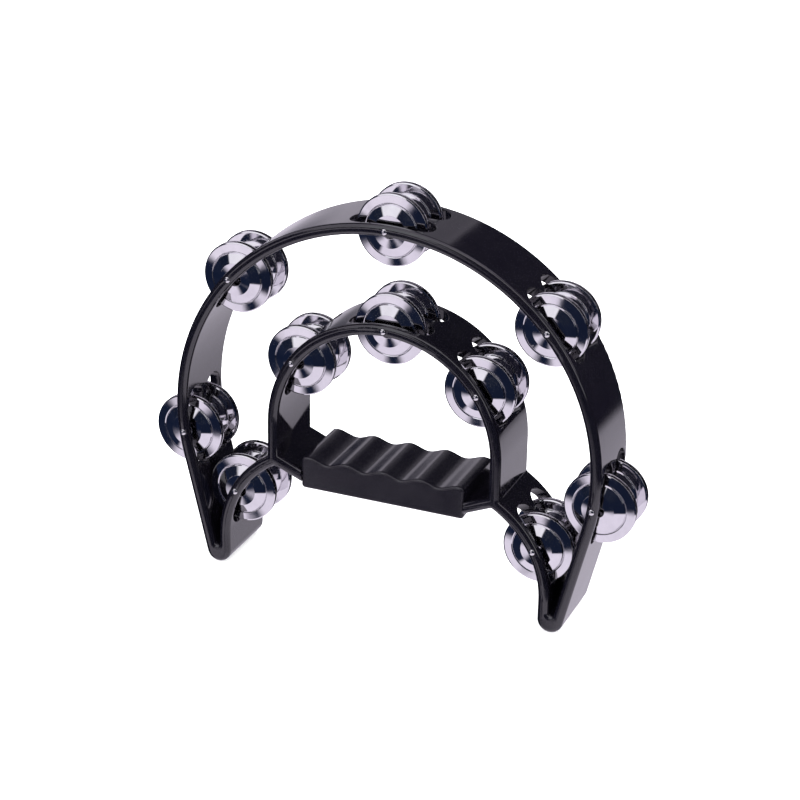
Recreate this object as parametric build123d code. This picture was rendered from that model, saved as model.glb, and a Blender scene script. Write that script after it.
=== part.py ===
from build123d import *
import os
from math import atan2, cos, hypot, pi, radians, sin, tan

# Half-moon hand tambourine: one moulded strip bent into two concentric arches, with a grip bar
# across the inner one, and ten steel pins that each carry two pairs of jingles.
# Millimetres. X is the width, Z is up and Y runs along the pins. The front is at -Y, and the
# origin is on the ground, half way between the two leg tips.

# ---- frame, front view ----
strip_thickness = 6.4
outer_radius = 124.0
arch_centre_height = 93.0
inner_radius = 68.3
tip_radius = 7.2
leg_lean = 13.6
hollow_radius = 56.6
hollow_centre_height = 18.0
crescent_end_width = 2.4
crescent_end_round = 0.9
wing_slope = 22.8
crotch_round = 1.6

# ---- frame, depth ----
strip_depth = 46.0
rim_width = 4.0
web_width = 4.0
strip_round = 2.6
slot_round = 0.5
slot_end_gap = 3.5
slot_overrun = 1.2

# ---- grip ----
grip_length = 95.6
grip_depth = 43.0
grip_bottom = 56.8
grip_height = 17.4
wave_height = 2.8
wave_pitch = 21.8
points_per_wave = 4
grip_edge_round = 1.5
grip_end_round = 2.0
bar_depth = 34.0
bar_bottom = 60.4

# ---- pins ----
pin_radius = 1.1
head_radius = 1.7
head_height = 0.7
head_seat = 0.3
head_round = 0.5
pin_end_cover = 2.0

# ---- jingles ----
jingle_diameter = 40.0
sheet = 0.6
fold_share = 0.73
crown_share = 0.45
flange_rise = 0.8
crown_rise = 3.5
boss_height = 3.9
hole_radius = 3.5
pair_gap = 1.9
running_gap = 0.1

# How far forward of the middle of its slot each pair has come to rest on its pin.
front_pair_shift = 0.45
back_pair_shift = 2.0

# How far round its pin each pair has come to rest, in degrees from hanging straight down.
rest_angles = {"outer_left_low": -35.0, "outer_left_high": 30.0, "outer_top": 10.0,
               "outer_right_high": -30.0, "outer_right_low": 35.0, "inner_left": 35.0,
               "inner_top": 0.0, "inner_right": -45.0, "lower_left": 0.0, "lower_right": 0.0}

# Stations on each strip, as the angle from straight up about the strip's own centre.
outer_stations = {"outer_left_low": -97.6, "outer_left_high": -48.8, "outer_top": 0.0,
                  "outer_right_high": 48.8, "outer_right_low": 97.6}
inner_stations = {"inner_left": -55.0, "inner_top": 0.0, "inner_right": 55.0}
hollow_stations = {"lower_left": -61.4, "lower_right": 61.4}

# Distance within which two heights count as the same, and halvings that find one that closely.
same_height = 0.01
halvings = 40

half_strip = strip_thickness / 2
half_depth = strip_depth / 2
slot_length = jingle_diameter + 2 * slot_end_gap
slot_width = (strip_depth - 2 * rim_width - web_width) / 2
row_offset = (web_width + slot_width) / 2
bar_top = bar_bottom + strip_thickness / cos(radians(wing_slope))
lean = radians(leg_lean)
tip_offset = (outer_radius - tip_radius - (arch_centre_height - tip_radius) * sin(lean)) / cos(lean)
hollow_offset = tip_offset - tip_radius - hollow_radius


def legEdge(inset):
    """Top and bottom points of a leg's edge, moved in by inset from the outside."""
    across = (cos(lean), -sin(lean))
    top = ((outer_radius - inset) * across[0], arch_centre_height + (outer_radius - inset) * across[1])
    bottom = (tip_offset + (tip_radius - inset) * across[0], tip_radius + (tip_radius - inset) * across[1])
    return top, bottom


def archCurve(radius, end):
    """Arch from its crown down the right-hand side to the point end, which lies on it."""
    half_turn = atan2(end[0], end[1] - arch_centre_height) / 2
    middle = (radius * sin(half_turn), arch_centre_height + radius * cos(half_turn))
    return ThreePointArc((0, arch_centre_height + radius), middle, end)


def hollowCurve(radius, start, end):
    """Side of the right-hand hollow, from the point start up to the point end, both on it."""
    rises = [atan2(z - hollow_centre_height, x - hollow_offset) for x, z in (start, end)]
    rise = sum(rises) / 2
    middle = (hollow_offset + radius * cos(rise), hollow_centre_height + radius * sin(rise))
    return ThreePointArc(start, middle, end)


def wingMeetsHollow(bottom_height):
    """Where the wing's lower edge, rising outwards from the grip bar, reaches the hollow's side."""
    slope = (cos(radians(wing_slope)), sin(radians(wing_slope)))
    offset = (grip_length / 2 - hollow_offset, bottom_height - hollow_centre_height)
    along = offset[0] * slope[0] + offset[1] * slope[1]
    short = hypot(*offset) ** 2 - hollow_radius ** 2
    run = -along + (along ** 2 - short) ** 0.5
    return (grip_length / 2 + run * slope[0], bottom_height + run * slope[1])


def symmetricFace(right_half):
    """Face inside a closed outline that is given by its right-hand half, from crown to base."""
    left_half = [mirror(curve, about=Plane.YZ) for curve in right_half]
    return make_face([*right_half, *left_half])


def silhouette():
    """Whole front view, without the hand hole and the crescent."""
    leg_top, leg_bottom = legEdge(0)
    inner_side = (tip_offset - tip_radius, tip_radius)
    hollow_foot = (inner_side[0], hollow_centre_height)
    crotch = wingMeetsHollow(bar_bottom)
    bar_end = (grip_length / 2, bar_bottom)
    face = symmetricFace([
        archCurve(outer_radius, leg_top),
        Line(leg_top, leg_bottom),
        ThreePointArc(leg_bottom, (tip_offset, 0), inner_side),
        Line(inner_side, hollow_foot),
        hollowCurve(hollow_radius, hollow_foot, crotch),
        Line(crotch, bar_end),
        Line(bar_end, (0, bar_bottom)),
    ])
    crotches = [v for v in face.vertices()
                if abs(abs(v.X) - crotch[0]) < same_height and v.Y < crotch[1] + same_height]
    return fillet(crotches, crotch_round)


def handHole():
    """Opening of the inner arch above the wings and the grip bar."""
    radius = inner_radius - strip_thickness
    wing_top = bar_top + (radius - grip_length / 2) * tan(radians(wing_slope))
    side = (radius, arch_centre_height)
    corner = (radius, wing_top)
    bar_end = (grip_length / 2, bar_top)
    return symmetricFace([archCurve(radius, side), Line(side, corner),
                          Line(corner, bar_end), Line(bar_end, (0, bar_top))])


def hollowEdge(radius, height):
    """Distance from the middle to a hollow's side at a height. Below its centre the side is upright."""
    rise = max(0, height - hollow_centre_height)
    return hollow_offset + (radius ** 2 - rise ** 2) ** 0.5


def crescentFloor(radius):
    """Height at which the gap between the leg and the hollow has narrowed to its end width."""
    leg_top = legEdge(strip_thickness)[0]
    low, high = tip_radius, leg_top[1]
    for _ in range(halvings):
        height = (low + high) / 2
        gap = leg_top[0] - (leg_top[1] - height) * tan(lean) - hollowEdge(radius, height)
        low, high = (low, height) if gap > crescent_end_width else (height, high)
    return high


def crescent():
    """Opening between the two arches, running down into both legs."""
    radius = hollow_radius + strip_thickness
    floor = crescentFloor(radius)
    leg_top = legEdge(strip_thickness)[0]
    foot = (hollowEdge(radius, floor), floor)
    leg_foot = (foot[0] + crescent_end_width, floor)
    junction_rise = (radius ** 2 - (inner_radius - hollow_offset) ** 2) ** 0.5
    junction = (inner_radius, hollow_centre_height + junction_rise)
    shoulder = (inner_radius, arch_centre_height)
    upright = []
    start = foot
    if floor < hollow_centre_height:
        start = (hollow_offset + radius, hollow_centre_height)
        upright = [Line(foot, start)]
    face = symmetricFace([
        archCurve(outer_radius - strip_thickness, leg_top),
        Line(leg_top, leg_foot),
        Line(leg_foot, foot),
        *upright,
        hollowCurve(radius, start, junction),
        Line(junction, shoulder),
        archCurve(inner_radius, shoulder),
    ])
    junctions = [v for v in face.vertices() if abs(v.Y - junction[1]) < same_height]
    face = fillet(junctions, crotch_round)
    ends = [v for v in face.vertices() if v.Y < floor + same_height]
    return fillet(ends, crescent_end_round)


def frameOutline():
    return silhouette() - handHole() - crescent()


def stationPlace(angle, radius, centre_x, centre_z):
    """Pin position on a strip, the direction that faces away from its centre, and its radius."""
    away = radians(angle)
    return (centre_x + radius * sin(away), centre_z + radius * cos(away), angle, radius)


def allStations():
    places = {}
    for name, angle in outer_stations.items():
        places[name] = stationPlace(angle, outer_radius - half_strip, 0, arch_centre_height)
    for name, angle in inner_stations.items():
        places[name] = stationPlace(angle, inner_radius - half_strip, 0, arch_centre_height)
    for name, angle in hollow_stations.items():
        side = 1 if angle > 0 else -1
        places[name] = stationPlace(angle, hollow_radius + half_strip,
                                    side * hollow_offset, hollow_centre_height)
    return places


stations = allStations()


def slotCutter(place, row):
    """Round-ended slot through the strip at one station, for one row of jingles."""
    x, z, angle, radius = place
    dip = radius - (radius ** 2 - (slot_length / 2) ** 2) ** 0.5
    outwards = half_strip + slot_overrun
    inwards = half_strip + dip + slot_overrun
    slot = extrude(SlotOverall(slot_length, slot_width), amount=outwards + inwards)
    return Pos(x, row * row_offset, z) * Rot(0, angle, 0) * Pos(0, 0, -inwards) * slot


def alongPin(radius, start, end):
    """Round bar along Y, from start to end."""
    return Pos(0, (start + end) / 2, 0) * Rot(90, 0, 0) * Cylinder(radius, end - start)


def pinHole(place):
    """Hole for a pin's shank, blind at the back, with a shallow seat for its head at the front."""
    shank = alongPin(pin_radius, -half_depth - head_height, half_depth - pin_end_cover)
    seat = alongPin(head_radius, -half_depth - head_height, -half_depth + head_seat)
    return Pos(place[0], 0, place[1]) * (shank + seat)


def makeFrame():
    outline = frameOutline()
    strip = extrude(Plane.XZ * outline, amount=half_depth, both=True)
    faces = strip.faces().filter_by(Axis.Y)
    rim_edges = (faces.sort_by(Axis.Y)[0].edges() + faces.sort_by(Axis.Y)[-1].edges())
    strip = fillet(rim_edges, strip_round)
    # The bar inside the grip is narrower than the strip, so that the grip covers it.
    side_cut = (strip_depth - bar_depth) / 2
    cut_height = 2 * strip_thickness
    for side in (-1, 1):
        cut = Box(grip_length, side_cut, cut_height)
        strip -= Pos(0, side * (bar_depth + side_cut) / 2, (bar_bottom + bar_top) / 2) * cut
    for place in stations.values():
        for row in (-1, 1):
            cutter = slotCutter(place, row)
            slotted = strip - cutter
            strip = fillet(new_edges(strip, cutter, combined=slotted), slot_round)
        strip -= pinHole(place)
    return strip


def makeGrip():
    """Sleeve moulded round the bar: flat below, with finger grooves on top."""
    half = grip_length / 2
    top = grip_bottom + grip_height
    steps = round(grip_length / wave_pitch * points_per_wave)
    crests = []
    for i in range(steps + 1):
        x = -half + grip_length * i / steps
        crests.append((x, top + wave_height / 2 * cos(2 * pi * x / wave_pitch)))
    wave = Spline(*crests)
    edges = Polyline(wave @ 1, (half, grip_bottom), (-half, grip_bottom), wave @ 0)
    body = extrude(Plane.XZ * make_face([wave, edges]), amount=grip_depth / 2, both=True)
    body = fillet(body.edges().filter_by(Axis.Y), grip_end_round)
    body = fillet(body.faces().filter_by(Axis.Y).edges(), grip_edge_round)
    channel = Box(grip_length, bar_depth, bar_top - bar_bottom)
    return body - Pos(0, 0, (bar_bottom + bar_top) / 2) * channel


def makePin(place):
    shank = alongPin(pin_radius, -half_depth, half_depth - pin_end_cover)
    head = alongPin(head_radius, -half_depth - head_height, -half_depth + head_seat)
    head = fillet(head.faces().sort_by(Axis.Y)[0].edges(), head_round)
    return Pos(place[0], 0, place[1]) * (shank + head)


def makeJingle():
    """One pressed cymbal about the Y axis: rim at Y = 0, shallow flange, then a boss towards -Y."""
    rim = jingle_diameter / 2
    inner_side = [(rim, 0), (fold_share * rim, -flange_rise), (crown_share * rim, -crown_rise),
                  (hole_radius, -boss_height)]
    outer_side = [(radius, y - sheet) for radius, y in reversed(inner_side)]
    return revolve(make_face(Polyline(*inner_side, *outer_side, close=True)), Axis.Y)


def jinglePlace(name):
    """Middle of a station's jingles, which rest on a pin that is thinner than their holes."""
    x, z = stations[name][:2]
    slack = hole_radius - pin_radius - running_gap
    angle = radians(rest_angles[name])
    return x + slack * sin(angle), z - slack * cos(angle)


def main():
    os.makedirs("parts", exist_ok=True)
    export_step(makeFrame(), "parts/frame.step")
    export_step(makeGrip(), "parts/handle_grip.step")
    jingle = makeJingle()
    for name, place in stations.items():
        export_step(makePin(place), f"parts/pin_{name}.step")
        x, z = jinglePlace(name)
        for row_name, row, shift in (("front", -1, front_pair_shift), ("back", 1, back_pair_shift)):
            for half_name, side in (("a", -1), ("b", 1)):
                turned = jingle if side < 0 else Rot(0, 0, 180) * jingle
                y = row * row_offset - shift + side * pair_gap / 2
                placed = Pos(x, y, z) * turned
                export_step(placed, f"parts/jingle_{name}_{row_name}_{half_name}.step")


main()
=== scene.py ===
import bmesh
import bpy
from math import cos, pi, radians, sin
from mathutils import Matrix, Vector


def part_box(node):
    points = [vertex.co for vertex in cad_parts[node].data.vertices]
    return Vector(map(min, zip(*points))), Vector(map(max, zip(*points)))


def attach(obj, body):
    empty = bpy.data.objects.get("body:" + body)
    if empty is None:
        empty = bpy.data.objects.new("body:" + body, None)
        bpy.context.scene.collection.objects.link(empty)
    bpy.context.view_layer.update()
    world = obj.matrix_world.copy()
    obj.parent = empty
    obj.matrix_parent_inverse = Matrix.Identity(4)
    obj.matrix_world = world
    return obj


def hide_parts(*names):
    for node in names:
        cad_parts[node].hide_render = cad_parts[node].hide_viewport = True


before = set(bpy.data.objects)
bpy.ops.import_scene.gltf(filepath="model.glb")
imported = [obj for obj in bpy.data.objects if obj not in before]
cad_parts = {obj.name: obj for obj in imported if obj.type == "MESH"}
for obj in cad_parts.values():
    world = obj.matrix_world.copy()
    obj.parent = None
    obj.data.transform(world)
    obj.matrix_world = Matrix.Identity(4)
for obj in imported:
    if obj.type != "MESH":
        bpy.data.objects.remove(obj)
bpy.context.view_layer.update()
mm = 0.001
print("frame loaded,", len(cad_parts), "nodes")


def fillSocket(tree, socket, value):
    if isinstance(value, bpy.types.NodeSocket):
        tree.links.new(value, socket)
    else:
        socket.default_value = value


def addNode(tree, kind, settings=None, **values):
    # values are matched to the node's inputs by name, with spaces left out
    node = tree.nodes.new(kind)
    for key, value in (settings or {}).items():
        setattr(node, key, value)
    for key, value in values.items():
        sockets = [s for s in node.inputs if s.enabled and s.name.replace(" ", "") == key]
        fillSocket(tree, sockets[0], value)
    return node


def calc(tree, operation, first, second=0.0):
    node = tree.nodes.new("ShaderNodeMath")
    node.operation = operation
    fillSocket(tree, node.inputs[0], first)
    fillSocket(tree, node.inputs[1], second)
    return node.outputs[0]


def combine(tree, x, y, z):
    return addNode(tree, "ShaderNodeCombineXYZ", X=x, Y=y, Z=z).outputs[0]


def newMaterial(name):
    material = bpy.data.materials.new(name)
    material.use_nodes = True
    shader = material.node_tree.nodes["Principled BSDF"]
    return material, material.node_tree, shader


def objectPoint(tree):
    return tree.nodes.new("ShaderNodeTexCoord").outputs["Object"]


def noise(tree, place, scale, detail=3.0, roughness=0.5):
    node = addNode(tree, "ShaderNodeTexNoise", Vector=place, Scale=scale, Detail=detail, Roughness=roughness)
    return node.outputs["Fac"]


def spread(tree, value, low, high, toLow, toHigh):
    node = tree.nodes.new("ShaderNodeMapRange")
    for socket, item in zip(node.inputs, (value, low, high, toLow, toHigh)):
        fillSocket(tree, socket, item)
    return node.outputs[0]


def tint(tree, amount, dark, light):
    node = tree.nodes.new("ShaderNodeValToRGB")
    fillSocket(tree, node.inputs[0], amount)
    node.color_ramp.elements[0].color = (*dark, 1)
    node.color_ramp.elements[1].color = (*light, 1)
    return node.outputs[0]


def bump(tree, height, distance, strength, under=None):
    node = addNode(tree, "ShaderNodeBump", Height=height, Distance=distance, Strength=strength)
    if under is not None:
        tree.links.new(under, node.inputs["Normal"])
    return node.outputs[0]


def mottle(tree, shader, amount, size):
    # one set of clouds drives both the colour and the roughness
    fillSocket(tree, shader.inputs["Base Color"], tint(tree, amount, size["darkColour"], size["lightColour"]))
    low, high = size["cloudRange"]
    rough = spread(tree, amount, low, high, size["smoothest"], size["roughest"])
    fillSocket(tree, shader.inputs["Roughness"], rough)


def stretched(tree, place, alongY):
    # a small scale along Y draws the pattern out in that direction
    return addNode(tree, "ShaderNodeMapping", Vector=place, Scale=(1.0, alongY, 1.0)).outputs[0]


glossPlastic = {
    "darkColour": (0.0022, 0.0019, 0.0036), "lightColour": (0.0042, 0.0036, 0.0062),
    "smoothest": 0.06, "roughest": 0.14, "cloudScale": 55.0, "cloudRange": (0.3, 0.75), "ior": 1.75,
    "sinkScale": 30.0, "sinkDepth": 0.00030, "sinkStrength": 0.35,
    "peelScale": 900.0, "peelDepth": 0.000012, "peelStrength": 0.5,
    "rubScale": 2600.0, "rubDepth": 0.000004, "rubStrength": 0.5, "rubStretch": 0.04,
}


def makeGlossPlastic(size):
    # injection moulded plastic: slight sink waves, a fine orange peel and hairline rubs
    material, tree, shader = newMaterial("glossPlastic")
    place = objectPoint(tree)
    mottle(tree, shader, noise(tree, place, size["cloudScale"], detail=4.0, roughness=0.6), size)
    waves = noise(tree, place, size["sinkScale"], detail=1.0)
    sink = bump(tree, waves, size["sinkDepth"], size["sinkStrength"])
    skin = noise(tree, place, size["peelScale"], detail=2.0)
    peel = bump(tree, skin, size["peelDepth"], size["peelStrength"], sink)
    rubs = noise(tree, stretched(tree, place, size["rubStretch"]), size["rubScale"], detail=1.0)
    fillSocket(tree, shader.inputs["Normal"], bump(tree, rubs, size["rubDepth"], size["rubStrength"], peel))
    shader.inputs["IOR"].default_value = size["ior"]
    return material


satinGrip = {
    "darkColour": (0.0034, 0.0029, 0.0052), "lightColour": (0.0062, 0.0054, 0.0090),
    "smoothest": 0.13, "roughest": 0.21, "wearScale": 70.0, "cloudRange": (0.3, 0.7), "ior": 1.6,
    "grainScale": 2100.0, "grainDepth": 0.000015, "grainStrength": 0.25,
    "pebbleScale": 520.0, "pebbleDepth": 0.00001, "pebbleStrength": 0.3,
}


def makeSatinGrip(size):
    # a softer compound with a fine pebble grain, a little shinier where hands rub it
    material, tree, shader = newMaterial("satinGrip")
    place = objectPoint(tree)
    mottle(tree, shader, noise(tree, place, size["wearScale"], detail=3.0), size)
    cells = addNode(tree, "ShaderNodeTexVoronoi", Vector=place, Scale=size["pebbleScale"]).outputs["Distance"]
    pebbles = bump(tree, cells, size["pebbleDepth"], size["pebbleStrength"])
    grain = noise(tree, place, size["grainScale"], detail=2.0)
    skin = bump(tree, grain, size["grainDepth"], size["grainStrength"], pebbles)
    fillSocket(tree, shader.inputs["Normal"], skin)
    shader.inputs["IOR"].default_value = size["ior"]
    return material


brightNickel = {
    "darkColour": (0.70, 0.69, 0.72), "lightColour": (0.90, 0.885, 0.91),
    "smoothest": 0.025, "roughest": 0.085, "cloudScale": 150.0, "cloudRange": (0.3, 0.75),
    "latheScale": 9000.0, "latheDepth": 0.0000035, "latheStrength": 0.4,
    "waveScale": 260.0, "waveDepth": 0.00004, "waveStrength": 0.25,
}


def makeBrightNickel(size):
    # plated steel with concentric marks from the press and polish, read from each jingle's own radius
    material, tree, shader = newMaterial("brightNickel")
    place = objectPoint(tree)
    mottle(tree, shader, noise(tree, place, size["cloudScale"], detail=4.0, roughness=0.6), size)
    ring = addNode(tree, "ShaderNodeAttribute", {"attribute_name": "ringRadius"}).outputs["Fac"]
    across = combine(tree, ring, 0.0, 0.0)
    lathe = noise(tree, across, size["latheScale"], detail=3.0, roughness=0.7)
    sheetWaves = noise(tree, place, size["waveScale"], detail=1.0)
    wave = bump(tree, sheetWaves, size["waveDepth"], size["waveStrength"])
    marks = bump(tree, lathe, size["latheDepth"], size["latheStrength"], wave)
    fillSocket(tree, shader.inputs["Normal"], marks)
    shader.inputs["Metallic"].default_value = 1.0
    return material


pinSteel = {
    "darkColour": (0.72, 0.71, 0.72), "lightColour": (0.90, 0.89, 0.89),
    "smoothest": 0.08, "roughest": 0.20, "cloudRange": (0.3, 0.7),
    "drawScale": 1800.0, "drawDepth": 0.00001, "drawStrength": 0.4, "drawStretch": 0.03,
}


def makePinSteel(size):
    # drawn wire: marks run along the pin
    material, tree, shader = newMaterial("pinSteel")
    along = stretched(tree, objectPoint(tree), size["drawStretch"])
    marks = noise(tree, along, size["drawScale"], detail=3.0)
    mottle(tree, shader, marks, size)
    fillSocket(tree, shader.inputs["Normal"], bump(tree, marks, size["drawDepth"], size["drawStrength"]))
    shader.inputs["Metallic"].default_value = 1.0
    return material


glossMaterial = makeGlossPlastic(glossPlastic)
gripMaterial = makeSatinGrip(satinGrip)
nickelMaterial = makeBrightNickel(brightNickel)
pinMaterial = makePinSteel(pinSteel)
print("materials made")


moulding = {"mergeWithin": 0.000002, "smoothUnder": 32.0}


def mergedCopy(node, name, material):
    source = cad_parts[node]
    mesh = source.data.copy()
    mesh.name = name
    work = bmesh.new()
    work.from_mesh(mesh)
    bmesh.ops.remove_doubles(work, verts=work.verts, dist=moulding["mergeWithin"])
    work.to_mesh(mesh)
    work.free()
    mesh.materials.clear()
    mesh.materials.append(material)
    piece = bpy.data.objects.new(name, mesh)
    bpy.context.scene.collection.objects.link(piece)
    mesh.shade_smooth()
    mesh.set_sharp_from_angle(angle=radians(moulding["smoothUnder"]))
    weigh = piece.modifiers.new("weighNormals", "WEIGHTED_NORMAL")
    weigh.keep_sharp = True
    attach(piece, "frame")
    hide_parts(node)
    return piece


mergedCopy("frame", "archFrame", glossMaterial)
mergedCopy("handle_grip", "gripSleeve", gripMaterial)
print("frame and grip made")


def newTree(name, sizes):
    tree = bpy.data.node_groups.new(name, "GeometryNodeTree")
    tree.interface.new_socket("Geometry", in_out="INPUT", socket_type="NodeSocketGeometry")
    tree.interface.new_socket("Geometry", in_out="OUTPUT", socket_type="NodeSocketGeometry")
    for label, value in sizes.items():
        kind = "NodeSocketInt" if isinstance(value, int) else "NodeSocketFloat"
        tree.interface.new_socket(label, in_out="INPUT", socket_type=kind).default_value = value
    given = tree.nodes.new("NodeGroupInput")
    return tree, given.outputs


turning = {"mergeWithin": 0.000001}


def roundedRing(tree, given, points, closed):
    # the section's corners as a line in the XY plane, with every corner rounded
    picker = tree.nodes.new("GeometryNodeIndexSwitch")
    picker.data_type = "VECTOR"
    while len(picker.index_switch_items) < len(points):
        picker.index_switch_items.new()
    fillSocket(tree, picker.inputs[0], tree.nodes.new("GeometryNodeInputIndex").outputs[0])
    for k, (radius, height) in enumerate(points):
        fillSocket(tree, picker.inputs[k + 1], combine(tree, radius, height, 0.0))
    line = addNode(tree, "GeometryNodeMeshLine", {"mode": "OFFSET"}, Count=len(points)).outputs[0]
    placed = addNode(tree, "GeometryNodeSetPosition", Geometry=line, Position=picker.outputs[0]).outputs[0]
    curve = addNode(tree, "GeometryNodeMeshToCurve", Mesh=placed).outputs[0]
    curve = addNode(tree, "GeometryNodeSetSplineCyclic", Geometry=curve, Cyclic=closed).outputs[0]
    fillet = tree.nodes.new("GeometryNodeFilletCurve")
    fillet.mode = "POLY"
    fillSocket(tree, fillet.inputs["Curve"], curve)
    fillSocket(tree, fillet.inputs["Radius"], given["Bend Radius"])
    fillSocket(tree, fillet.inputs["Count"], given["Bend Steps"])
    fillet.inputs["Limit Radius"].default_value = True
    return addNode(tree, "GeometryNodeCurveToMesh", Curve=fillet.outputs[0]).outputs[0]


def sweptRing(tree, given, ringMesh, closed):
    # a grid wrapped round Y: its rows follow the section, and its columns go once round
    ringCount = addNode(tree, "GeometryNodeAttributeDomainSize", {"component": "MESH"},
                        Geometry=ringMesh).outputs["Point Count"]
    rows = calc(tree, "ADD", ringCount, 1.0 if closed else 0.0)
    columns = calc(tree, "ADD", given["Segments"], 1.0)
    grid = addNode(tree, "GeometryNodeMeshGrid", VerticesX=rows, VerticesY=columns).outputs[0]
    index = tree.nodes.new("GeometryNodeInputIndex").outputs[0]
    row = calc(tree, "FLOOR", calc(tree, "DIVIDE", index, columns))
    sampled = tree.nodes.new("GeometryNodeSampleIndex")
    sampled.data_type = "FLOAT_VECTOR"
    fillSocket(tree, sampled.inputs["Geometry"], ringMesh)
    fillSocket(tree, sampled.inputs["Value"], tree.nodes.new("GeometryNodeInputPosition").outputs[0])
    fillSocket(tree, sampled.inputs["Index"], calc(tree, "MODULO", row, ringCount))
    radius, height, _ = addNode(tree, "ShaderNodeSeparateXYZ", Vector=sampled.outputs[0]).outputs
    column = calc(tree, "MODULO", index, columns)
    angle = calc(tree, "MULTIPLY", calc(tree, "DIVIDE", column, given["Segments"]), 2 * pi)
    place = combine(tree, calc(tree, "MULTIPLY", radius, calc(tree, "COSINE", angle)), height,
                    calc(tree, "MULTIPLY", radius, calc(tree, "SINE", angle)))
    turned = addNode(tree, "GeometryNodeSetPosition", Geometry=grid, Position=place).outputs[0]
    marked = addNode(tree, "GeometryNodeStoreNamedAttribute", {"data_type": "FLOAT", "domain": "POINT"},
                     Geometry=turned, Name="ringRadius", Value=radius).outputs[0]
    return addNode(tree, "GeometryNodeMergeByDistance", Geometry=marked,
                   Distance=turning["mergeWithin"]).outputs[0]


def turnedTree(name, sizes, section, closed, material):
    # section(tree, inputs) gives the corners of the outline, as (radius, height) sockets
    tree, given = newTree(name, sizes)
    ringMesh = roundedRing(tree, given, section(tree, given), closed)
    whole = sweptRing(tree, given, ringMesh, closed)
    facing = combine(tree, 0.0, 0.0, given["Turn"])
    rotation = addNode(tree, "FunctionNodeEulerToRotation", Euler=facing).outputs[0]
    onPoints = addNode(tree, "GeometryNodeInstanceOnPoints", Points=given["Geometry"], Instance=whole)
    fillSocket(tree, onPoints.inputs["Rotation"], rotation)
    real = addNode(tree, "GeometryNodeRealizeInstances", Geometry=onPoints.outputs[0]).outputs[0]
    smooth = addNode(tree, "GeometryNodeSetShadeSmooth", Geometry=real).outputs[0]
    done = addNode(tree, "GeometryNodeSetMaterial", Geometry=smooth, Material=material).outputs[0]
    fillSocket(tree, tree.nodes.new("NodeGroupOutput").inputs[0], done)
    return tree


def makeTurned(name, tree, centres, values, material):
    # one plain mesh with the turned section standing on each of the given centres
    mesh = bpy.data.meshes.new(name + "Points")
    mesh.from_pydata(centres, [], [])
    carrier = bpy.data.objects.new(name + "Points", mesh)
    bpy.context.scene.collection.objects.link(carrier)
    modifier = carrier.modifiers.new("turn", "NODES")
    modifier.node_group = tree
    sockets = {s.name: s.identifier for s in tree.interface.items_tree if s.in_out == "INPUT"}
    for label, value in values.items():
        modifier[sockets[label]] = value
    evaluated = carrier.evaluated_get(bpy.context.evaluated_depsgraph_get())
    made = bpy.data.meshes.new_from_object(evaluated)
    carrier.modifiers.clear()
    bpy.data.objects.remove(carrier)
    work = bmesh.new()
    work.from_mesh(made)
    bmesh.ops.recalc_face_normals(work, faces=work.faces)
    work.to_mesh(made)
    work.free()
    made.name = name
    made.materials.clear()
    made.materials.append(material)
    piece = bpy.data.objects.new(name, made)
    bpy.context.scene.collection.objects.link(piece)
    weigh = piece.modifiers.new("weighNormals", "WEIGHTED_NORMAL")
    weigh.keep_sharp = True
    return piece


def middle(node):
    low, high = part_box(node)
    return (low + high) / 2


pinNodes = sorted(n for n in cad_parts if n.startswith("pin_"))
pinLow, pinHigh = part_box(pinNodes[0])
pinSizes = {
    "Front": pinLow.y, "Back": pinHigh.y, "Head Radius": (pinHigh.x - pinLow.x) / 2,
    "Head Height": 0.7 * mm, "Head Seat": 0.3 * mm, "Shank Radius": 1.1 * mm, "Tail Taper": 0.4 * mm,
    "Bend Radius": 0.1 * mm, "Turn": 0.0, "Bend Steps": 3, "Segments": 40,
}
domeSteps = 9


def pinSection(tree, given):
    # a domed head standing off the rim, a seat inside it, then the shank and its chamfered tail
    section = []
    for step in range(domeSteps + 1):
        turn = pi / 2 * step / domeSteps
        drop = calc(tree, "MULTIPLY", given["Head Height"], 1 - cos(turn))
        radius = calc(tree, "MULTIPLY", given["Head Radius"], sin(turn))
        section.append((radius, calc(tree, "ADD", given["Front"], drop)))
    under = calc(tree, "ADD", section[-1][1], given["Head Seat"])
    tail = calc(tree, "SUBTRACT", given["Back"], given["Tail Taper"])
    tip = calc(tree, "SUBTRACT", given["Shank Radius"], given["Tail Taper"])
    return section + [(given["Head Radius"], under), (given["Shank Radius"], under),
                      (given["Shank Radius"], tail), (tip, given["Back"]), (0.0, given["Back"])]


pinTree = turnedTree("pinTurning", pinSizes, pinSection, False, pinMaterial)
pinCentres = [(middle(n).x, 0.0, middle(n).z) for n in pinNodes]
pins = makeTurned("steelPins", pinTree, pinCentres, pinSizes, pinMaterial)
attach(pins, "frame")
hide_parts(*pinNodes)
print("pins made,", len(pinNodes))


jingleNodes = sorted(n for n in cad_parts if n.startswith("jingle_"))
rimLow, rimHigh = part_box(jingleNodes[0])
rimRadius = (rimHigh.x - rimLow.x) / 2
foldShare = 0.73
crownShare = 0.45
jingleSizes = {
    "Rim Radius": rimRadius, "Fold Radius": foldShare * rimRadius, "Crown Radius": crownShare * rimRadius,
    "Hole Radius": 3.5 * mm, "Flange Rise": 0.8 * mm, "Crown Rise": 3.5 * mm, "Boss Height": 3.9 * mm,
    "Sheet": 0.6 * mm, "Lip Width": 0.75 * mm, "Lip Rise": 0.34 * mm, "Crease Width": 0.55 * mm,
    "Crease Depth": 0.42 * mm, "Bend Radius": 0.3 * mm, "Turn": 0.0, "Bend Steps": 4, "Segments": 128,
}


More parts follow.
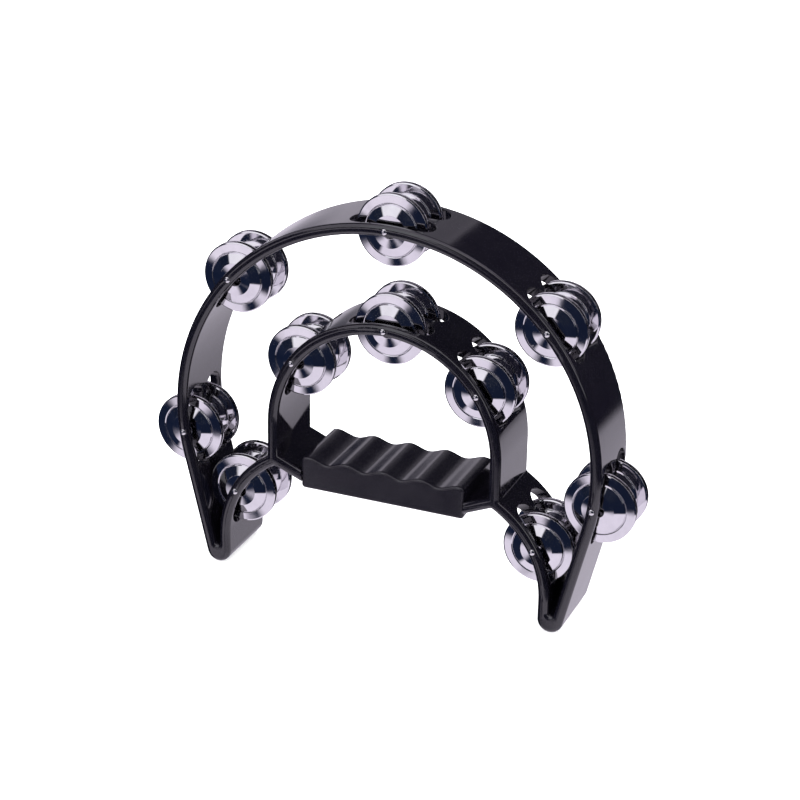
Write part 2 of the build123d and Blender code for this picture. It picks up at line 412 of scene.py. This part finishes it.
def jingleSection(tree, given):
    def less(first, second):
        return calc(tree, "SUBTRACT", first, second)

    def minus(value):
        return calc(tree, "MULTIPLY", value, -1.0)

    # rim, turned lip, flange, crease, cone and crown, then the same again a sheet further forward
    flange, crease = minus(given["Flange Rise"]), given["Crease Width"]
    inner = [(given["Rim Radius"], 0.0),
             (less(given["Rim Radius"], given["Lip Width"]), minus(given["Lip Rise"])),
             (calc(tree, "ADD", given["Fold Radius"], crease), flange),
             (given["Fold Radius"], calc(tree, "ADD", flange, given["Crease Depth"])),
             (less(given["Fold Radius"], crease), less(flange, given["Crease Depth"])),
             (given["Crown Radius"], minus(given["Crown Rise"])),
             (given["Hole Radius"], minus(given["Boss Height"]))]
    outer = [(radius, less(height, given["Sheet"])) for radius, height in reversed(inner)]
    return inner + outer


jingleTree = turnedTree("jingleTurning", jingleSizes, jingleSection, True, nickelMaterial)
for node in jingleNodes:
    low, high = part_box(node)
    forward = node.endswith("_a")
    rim = high.y if forward else low.y  # the boss is on the far side of the rim from the partner
    centre = ((low.x + high.x) / 2, rim, (low.z + high.z) / 2)
    values = {**jingleSizes, "Turn": 0.0 if forward else pi}
    jingle = makeTurned(node.replace("jingle_", "cymbal_"), jingleTree, [centre], values, nickelMaterial)
    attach(jingle, node)
    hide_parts(node)
print("jingles made,", len(jingleNodes))


studio = {
    "floorSize": 12.0, "floorColour": (0.90, 0.90, 0.905), "floorRoughness": 0.6, "floorGlow": 0.5,
    "floorSpecular": 0.1, "fibreScale": 900.0, "fibreDepth": 0.00002, "fibreStrength": 0.1,
    "cameraAzimuth": 22.34, "cameraElevation": 23.95, "cameraRoll": 1.02,
    "cameraPlace": (0.4411, -1.0702, 0.6240), "lens": 105.03, "sensorWidth": 36.0,
    "skyColour": (0.96, 0.96, 0.97), "skyStrength": 2.4,
    "keyPower": 6.0, "keyPlace": (0.0, 0.35, 1.5), "keyAim": (0.0, 0.0, 0.1), "keySize": (1.6, 1.2),
}


def makeFloor():
    half = studio["floorSize"] / 2
    mesh = bpy.data.meshes.new("studioFloor")
    corners = [(-half, -half, 0), (half, -half, 0), (half, half, 0), (-half, half, 0)]
    mesh.from_pydata(corners, [], [(0, 1, 2, 3)])
    floor = bpy.data.objects.new("studioFloor", mesh)
    bpy.context.scene.collection.objects.link(floor)
    material, tree, shader = newMaterial("studioPaper")
    place = objectPoint(tree)
    fibre = noise(tree, place, studio["fibreScale"], detail=2.0)
    paper = bump(tree, fibre, studio["fibreDepth"], studio["fibreStrength"])
    fillSocket(tree, shader.inputs["Normal"], paper)
    shader.inputs["Base Color"].default_value = (*studio["floorColour"], 1)
    shader.inputs["Roughness"].default_value = studio["floorRoughness"]
    shader.inputs["Specular IOR Level"].default_value = studio["floorSpecular"]
    shader.inputs["Emission Color"].default_value = (*studio["floorColour"], 1)
    shader.inputs["Emission Strength"].default_value = studio["floorGlow"]
    mesh.materials.append(material)
    floor.visible_glossy = False


def makeCamera():
    data = bpy.data.cameras.new("studioCamera")
    data.sensor_width = studio["sensorWidth"]
    data.lens = studio["lens"]
    camera = bpy.data.objects.new("studioCamera", data)
    bpy.context.scene.collection.objects.link(camera)
    a, e, r = (radians(studio[k]) for k in ("cameraAzimuth", "cameraElevation", "cameraRoll"))
    right = Vector((cos(a), sin(a), 0))
    ahead = Vector((-sin(a) * cos(e), cos(a) * cos(e), -sin(e)))
    up = right.cross(ahead)
    rolledRight = right * cos(r) + up * sin(r)
    rolledUp = up * cos(r) - right * sin(r)
    turn = Matrix((rolledRight, rolledUp, -ahead)).transposed().to_4x4()
    camera.matrix_world = Matrix.Translation(studio["cameraPlace"]) @ turn
    bpy.context.scene.camera = camera


def makePanel(name, place, target, size, power):
    light = bpy.data.lights.new(name, "AREA")
    light.shape = "RECTANGLE"
    light.size, light.size_y = size
    light.energy = power
    panel = bpy.data.objects.new(name, light)
    bpy.context.scene.collection.objects.link(panel)
    panel.location = place
    panel.visible_glossy = False
    panel.rotation_mode = "QUATERNION"
    panel.rotation_quaternion = (Vector(target) - Vector(place)).to_track_quat("-Z", "Y")


# What the gloss sees of the room, laid over one another in this order. Each patch is a range of
# directions along X, Y and Z, with soft sides, and the colour of what stands there. A range that
# ends at 2 or -2 has no end on that side.
anyWay = (-2, 2)
roomPatches = {
    "wallWhite": (anyWay, anyWay, anyWay, (0.86, 0.80, 0.93)),
    "sideFlagLeft": ((-2, -0.52), anyWay, (-0.78, 0.34), (0.010, 0.015, 0.036)),
    "sideFlagRight": ((0.56, 2), anyWay, (-0.44, 0.30), (0.006, 0.010, 0.022)),
    "backHighDark": (anyWay, (0.10, 2), (0.50, 0.86), (0.020, 0.022, 0.036)),
    "backRightDark": ((-0.10, 2), (0.20, 2), (-0.25, 0.60), (0.012, 0.012, 0.022)),
    "backLevelDark": ((-0.43, 0.20), (0.30, 2), (-0.30, 0.20), (0.010, 0.010, 0.018)),
    "backSoftGrey": ((-0.42, -0.10), (0.20, 2), (0.22, 0.52), (0.30, 0.28, 0.33)),
    "frontUpperDark": (anyWay, (-2, -0.10), (0.00, 0.50), (0.008, 0.012, 0.028)),
    "frontTopDark": ((-0.10, 2), (-2, -0.05), (0.35, 0.90), (0.010, 0.013, 0.028)),
    "frontFloorDark": (anyWay, (-2, -0.20), (-0.42, -0.27), (0.008, 0.013, 0.034)),
    "frontRightDark": ((-0.24, 2), (-2, -0.30), (-0.44, 0.06), (0.008, 0.012, 0.030)),
    "frontSmallDark": ((-0.37, -0.28), (-2, -0.50), (-0.62, -0.40), (0.008, 0.013, 0.034)),
    "frontLowPanel": ((-0.66, -0.30), (-2, -0.25), (-0.19, -0.03), (0.92, 0.86, 0.98)),
    "frontLeftPanel": ((-0.70, -0.51), (-2, -0.25), (-0.26, -0.03), (0.92, 0.86, 0.98)),
    "frontHighPanel": ((-0.66, -0.04), (-2, -0.30), (0.28, 0.50), (0.95, 0.93, 1.00)),
    "edgeStrip": ((-0.40, 2), (-0.58, -0.30), (0.10, 2), (1.20, 1.18, 1.25)),
    "frontStrip": ((-0.46, -0.16), (-2, -0.15), (0.46, 0.84), (1.10, 1.12, 1.20)),
}
roomSoftness = 0.03


def softStep(tree, value, edge):
    node = tree.nodes.new("ShaderNodeMapRange")
    node.interpolation_type = "SMOOTHSTEP"
    for socket, item in zip(node.inputs, (value, edge - roomSoftness, edge + roomSoftness, 0.0, 1.0)):
        fillSocket(tree, socket, item)
    return node.outputs[0]


def makeSky():
    # the paper is lit by an even white room, and the gloss shows the patches
    world = bpy.data.worlds.new("studioRoom")
    world.use_nodes = True
    tree = world.node_tree
    direction = tree.nodes.new("ShaderNodeTexCoord").outputs["Generated"]
    axes = addNode(tree, "ShaderNodeSeparateXYZ", Vector=direction).outputs
    seen = None
    for ranges in roomPatches.values():
        cover = 1.0
        for axis, (low, high) in zip(axes, ranges[:3]):
            rise = softStep(tree, axis, low)
            fall = calc(tree, "SUBTRACT", 1.0, softStep(tree, axis, high))
            cover = calc(tree, "MULTIPLY", cover, calc(tree, "MULTIPLY", rise, fall))
        over = tree.nodes.new("ShaderNodeMix")
        over.data_type = "RGBA"
        fillSocket(tree, over.inputs["Factor"], cover)
        fillSocket(tree, over.inputs[6], seen if seen is not None else (0, 0, 0, 1))
        over.inputs[7].default_value = (*ranges[3], 1)
        seen = over.outputs[2]
    room = addNode(tree, "ShaderNodeBackground", Color=seen, Strength=1.0).outputs[0]
    even = tree.nodes["Background"]
    even.inputs["Color"].default_value = (*studio["skyColour"], 1)
    even.inputs["Strength"].default_value = studio["skyStrength"]
    gloss = tree.nodes.new("ShaderNodeLightPath").outputs["Is Glossy Ray"]
    mixed = tree.nodes.new("ShaderNodeMixShader")
    for socket, item in zip(mixed.inputs, (gloss, even.outputs[0], room)):
        fillSocket(tree, socket, item)
    fillSocket(tree, tree.nodes["World Output"].inputs["Surface"], mixed.outputs[0])
    bpy.context.scene.world = world


makeFloor()
makeCamera()
makeSky()
makePanel("overheadPanel", studio["keyPlace"], studio["keyAim"], studio["keySize"], studio["keyPower"])
bpy.context.scene.view_settings.view_transform = "Standard"
print("studio made")
